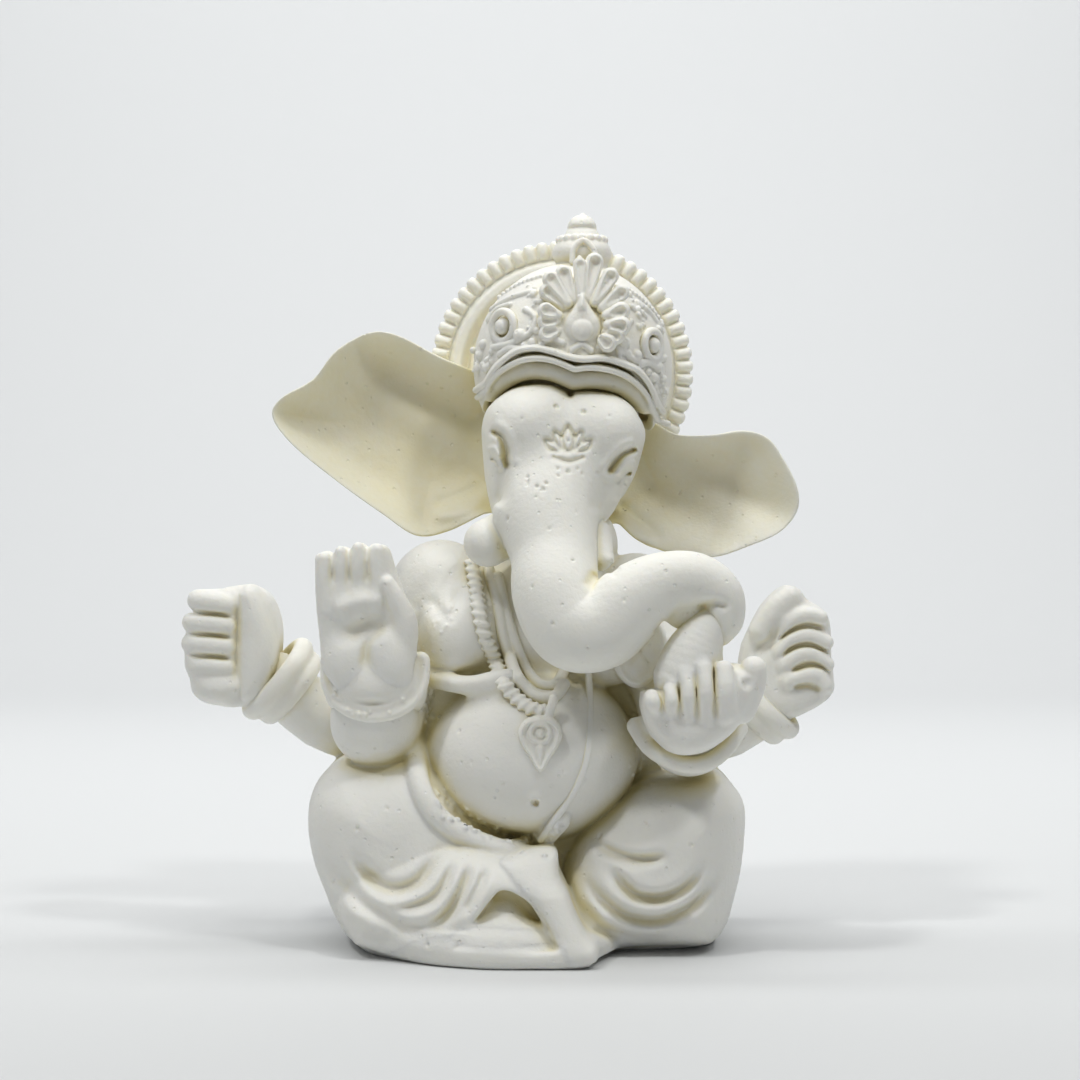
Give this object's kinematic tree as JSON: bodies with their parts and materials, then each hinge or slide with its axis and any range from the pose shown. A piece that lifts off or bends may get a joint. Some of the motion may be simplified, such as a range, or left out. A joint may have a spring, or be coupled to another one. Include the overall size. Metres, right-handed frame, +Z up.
{
  "type": "seated ganesha idol",
  "caption": "Small white cast idol of a seated four-armed elephant-headed deity with crown, halo disc, curled trunk and sweet, on a flat base.",
  "frame": {"origin": "middle of the flat underside, on the table", "axes": "+Z up through the crown, -Y the way the figure faces, +X its own left"},
  "size_m": [0.0888, 0.0462, 0.1],
  "materials": {
    "cast_body": "fine matt cast marble powder, neutral white",
    "cast_head": "fine matt cast marble powder, warmer in the ears",
    "cast_ornament": "fine matt cast marble powder with crisp relief",
    "cast_halo": "fine matt cast marble powder, slightly ivory where thin"
  },
  "bodies": {
    "root": {"base_slab": "cast_body", "right_leg": "cast_body", "left_leg": "cast_body", "front_foot": "cast_body", "dhoti_end": "cast_body", "waist_sash": "cast_body", "torso": "cast_body", "chest": "cast_body", "neck": "cast_body", "sacred_thread": "cast_body", "necklace_outer": "cast_ornament", "necklace_inner": "cast_ornament", "pendant": "cast_ornament", "right_front_arm": "cast_body", "right_front_bangle": "cast_ornament", "right_front_hand": "cast_body", "left_front_arm": "cast_body", "left_front_bangle": "cast_ornament", "left_front_hand": "cast_body", "modak": "cast_body", "right_rear_arm": "cast_body", "right_rear_bangle": "cast_ornament", "right_rear_hand": "cast_body", "left_rear_arm": "cast_body", "left_rear_bangle": "cast_ornament", "left_rear_hand": "cast_body", "head_with_trunk": "cast_head", "right_tusk": "cast_head", "left_tusk": "cast_head", "right_ear": "cast_head", "left_ear": "cast_head", "crown_dome": "cast_ornament", "crown_brow_band": "cast_ornament", "crown_pearls": "cast_ornament", "crown_right_rosette": "cast_ornament", "crown_left_rosette": "cast_ornament", "crown_petal_fan": "cast_ornament", "crown_gem": "cast_ornament", "crown_finial": "cast_ornament", "halo_disc": "cast_halo", "halo_beads": "cast_halo"}
  },
  "joints": []
}
